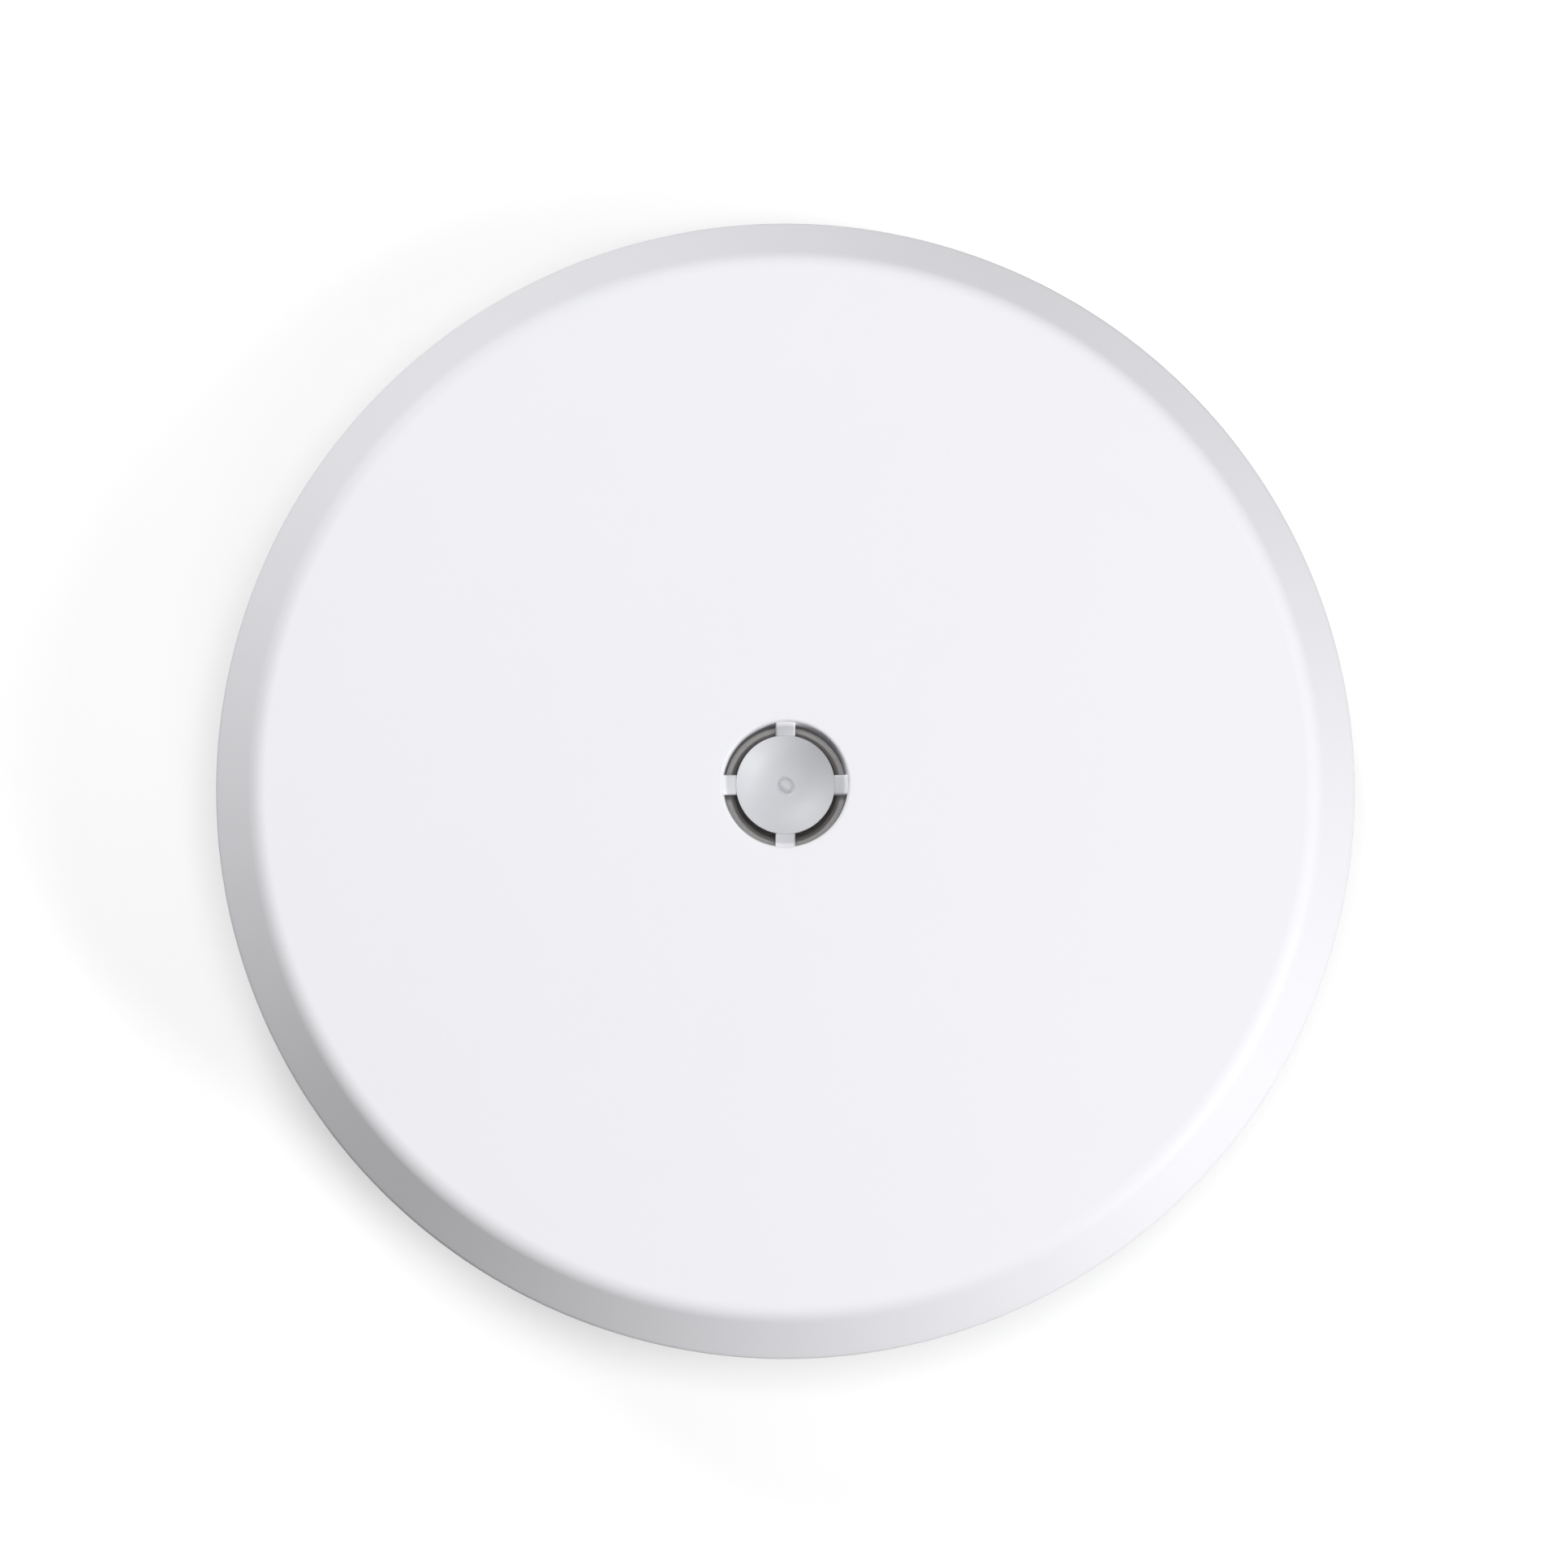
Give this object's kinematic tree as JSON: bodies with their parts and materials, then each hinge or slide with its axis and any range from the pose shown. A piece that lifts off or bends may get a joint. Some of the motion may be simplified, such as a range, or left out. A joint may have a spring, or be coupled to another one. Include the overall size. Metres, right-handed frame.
{
  "type": "ceiling access point",
  "caption": "Round ceiling wireless access point: bevelled white cover with a funnel-shaped centre port, cast base with a cable bay, and a twist-on ceiling plate.",
  "frame": {"origin": "centre of the ceiling plate's foot ring, in the plane that lies on the ceiling", "axes": "+Z out of the ceiling, through the cover's face into the room; +Y from the centre towards the cable bay; +X to the right of it, seen from the room"},
  "size_m": [0.16, 0.16, 0.032],
  "materials": {
    "cover_plastic": "smooth white moulded plastic with a very fine texture",
    "base_paint": "satin white powder coat on a cast tray",
    "plate_zinc": "bright zinc plate on stamped sheet",
    "spring_steel": "tempered spring strip",
    "screw_steel": "nickel-plated fasteners",
    "can_tin": "tin-plated drawn can",
    "pad_grey": "soft filled cooling pad",
    "antenna_metal": "tin-flashed stamped brass",
    "capacitor_sleeve": "shrunk sleeve",
    "ferrite": "sintered ferrite",
    "board_green": "solder mask on glass-fibre board",
    "chip_black": "moulded package",
    "jack_metal": "nickel-plated shell",
    "jack_plastic": "black moulded insert",
    "light_lens": "clear light lens, unlit",
    "cup_white": "glossy white reflector",
    "gasket_foam": "closed-cell foam",
    "button_grey": "moulded button"
  },
  "bodies": {
    "bracket": {"mounting_plate": "plate_zinc", "latch_spring": "spring_steel", "latch_rivet": "screw_steel"},
    "access_point": {"front_cover": "cover_plastic", "base_housing": "base_paint", "base_pad_1": "pad_grey", "base_pad_2": "pad_grey", "base_pad_3": "pad_grey", "bayonet_stud_1": "screw_steel", "bayonet_stud_2": "screw_steel", "bayonet_stud_3": "screw_steel", "bluetooth_antenna": "antenna_metal", "board_screw_1": "screw_steel", "board_screw_2": "screw_steel", "board_screw_3": "screw_steel", "board_screw_4": "screw_steel", "capacitor_1": "capacitor_sleeve", "capacitor_2": "capacitor_sleeve", "chip_pad_1": "pad_grey", "chip_pad_2": "pad_grey", "chip_pad_3": "pad_grey", "cup_gasket": "gasket_foam", "housing_screw_1": "screw_steel", "housing_screw_2": "screw_steel", "housing_screw_3": "screw_steel", "housing_screw_4": "screw_steel", "jack_insert": "jack_plastic", "jack_shell": "jack_metal", "light_cup": "cup_white", "line_transformer": "chip_black", "main_board": "board_green", "memory_chip": "chip_black", "poe_transformer": "ferrite", "power_inductor_1": "ferrite", "power_inductor_2": "ferrite", "processor_chip": "chip_black", "radio_chip_1": "chip_black", "radio_chip_2": "chip_black", "reset_switch": "chip_black", "shield_can_1": "can_tin", "shield_can_2": "can_tin", "shield_can_3": "can_tin", "status_light": "light_lens", "wifi_antenna_1": "antenna_metal", "wifi_antenna_2": "antenna_metal", "wifi_antenna_3": "antenna_metal", "wifi_antenna_4": "antenna_metal"},
    "reset_button": {"reset_button": "button_grey"}
  },
  "joints": [
    {"name": "bayonet_twist", "type": "hinge", "parent": "bracket", "child": "access_point", "pos_m": [0, 0, 0], "axis": [0, 0, 1], "range_deg": [0, 15], "deforming": ["latch_spring"]},
    {"name": "reset_press", "type": "slide", "parent": "access_point", "child": "reset_button", "axis": [0, -1, 0], "range_m": [0, 0.0005], "stiffness_N_per_m": 400, "springref_m": -0.0005}
  ]
}
